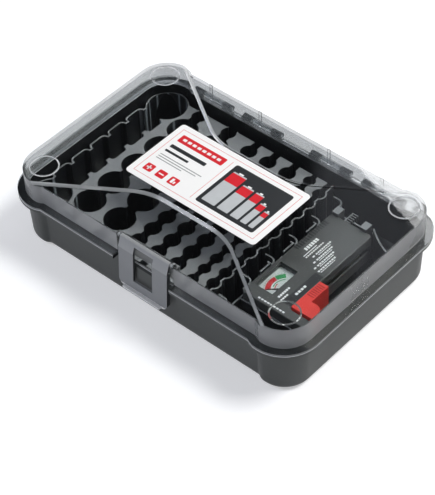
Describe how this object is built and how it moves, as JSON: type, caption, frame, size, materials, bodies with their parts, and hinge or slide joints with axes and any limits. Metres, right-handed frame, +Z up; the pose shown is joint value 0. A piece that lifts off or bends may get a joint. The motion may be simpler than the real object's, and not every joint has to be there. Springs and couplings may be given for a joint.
{
  "type": "battery storage case",
  "caption": "Clear-lidded battery storage case with a latch, hinged lid, fitted cell tray and a slide-arm battery tester with a needle gauge.",
  "frame": {"origin": "on the underside, in the middle of the case's overall length and width", "axes": "+X runs along the front to the tester's side, +Y to the hinges at the back, +Z up"},
  "size_m": [0.3046, 0.1966, 0.0707],
  "materials": {
    "tub_plastic": "moulded, satin, dark grey",
    "tray_plastic": "moulded, fine satin texture, mid grey",
    "smoke_clear_plastic": "moulded clear, slightly smoked, polished",
    "frosted_plastic": "moulded, frosted translucent",
    "label_card": "printed white self-adhesive card",
    "tester_plastic": "moulded, fine spark texture, grey",
    "red_plastic": "moulded, satin red",
    "gauge_glazing": "clear moulded glazing",
    "dial_card": "printed card",
    "needle_metal": "black painted",
    "coil_copper": "enamelled copper winding",
    "core_iron": "plain iron and ferrite",
    "board_laminate": "paper laminate board",
    "resistor_body": "lacquered resistor bodies",
    "contact_plate": "nickel-plated spring steel",
    "pin_steel": "plain steel wire and screws"
  },
  "bodies": {
    "case": {"base_tub": "tub_plastic", "hinge_pin_1": "pin_steel", "hinge_pin_2": "pin_steel", "hinge_pin_3": "pin_steel", "hinge_pin_4": "pin_steel", "cell_tray": "tray_plastic", "tester_cradle": "tray_plastic", "tester_lower_case": "tester_plastic", "tester_upper_case": "tester_plastic", "gauge_window": "gauge_glazing", "gauge_dial": "dial_card", "meter_magnet": "core_iron", "meter_core": "core_iron", "tester_board": "board_laminate", "load_resistors": "resistor_body", "contact_rail": "contact_plate", "fixed_contact": "contact_plate", "nine_volt_contacts": "contact_plate", "tester_screws": "pin_steel"},
    "lid": {"lid_shell": "smoke_clear_plastic", "label_card": "label_card", "latch_pin_left": "pin_steel", "latch_pin_right": "pin_steel"},
    "latch": {"front_latch": "frosted_plastic"},
    "slider": {"slider_arm": "red_plastic", "slider_contact": "contact_plate", "slider_wiper": "contact_plate"},
    "needle": {"gauge_needle": "needle_metal", "meter_coil": "coil_copper", "needle_pivot": "pin_steel"}
  },
  "joints": [
    {"name": "lid_hinge", "type": "hinge", "parent": "case", "child": "lid", "pos_m": [0, 0.0932, 0.0485], "axis": [-1, 0, 0], "range_deg": [0, 110]},
    {"name": "latch_hinge", "type": "hinge", "parent": "lid", "child": "latch", "pos_m": [0, -0.0877, 0.0673], "axis": [-1, 0, 0], "range_deg": [0, 95]},
    {"name": "tester_slider", "type": "slide", "parent": "case", "child": "slider", "axis": [0, 1, 0], "range_m": [0, 0.062]},
    {"name": "needle_swing", "type": "hinge", "parent": "case", "child": "needle", "pos_m": [0.0896, -0.0274, 0.0331], "axis": [0, 0, -1], "range_deg": [0, 88], "stiffness_Nm_per_rad": 0.00005}
  ]
}
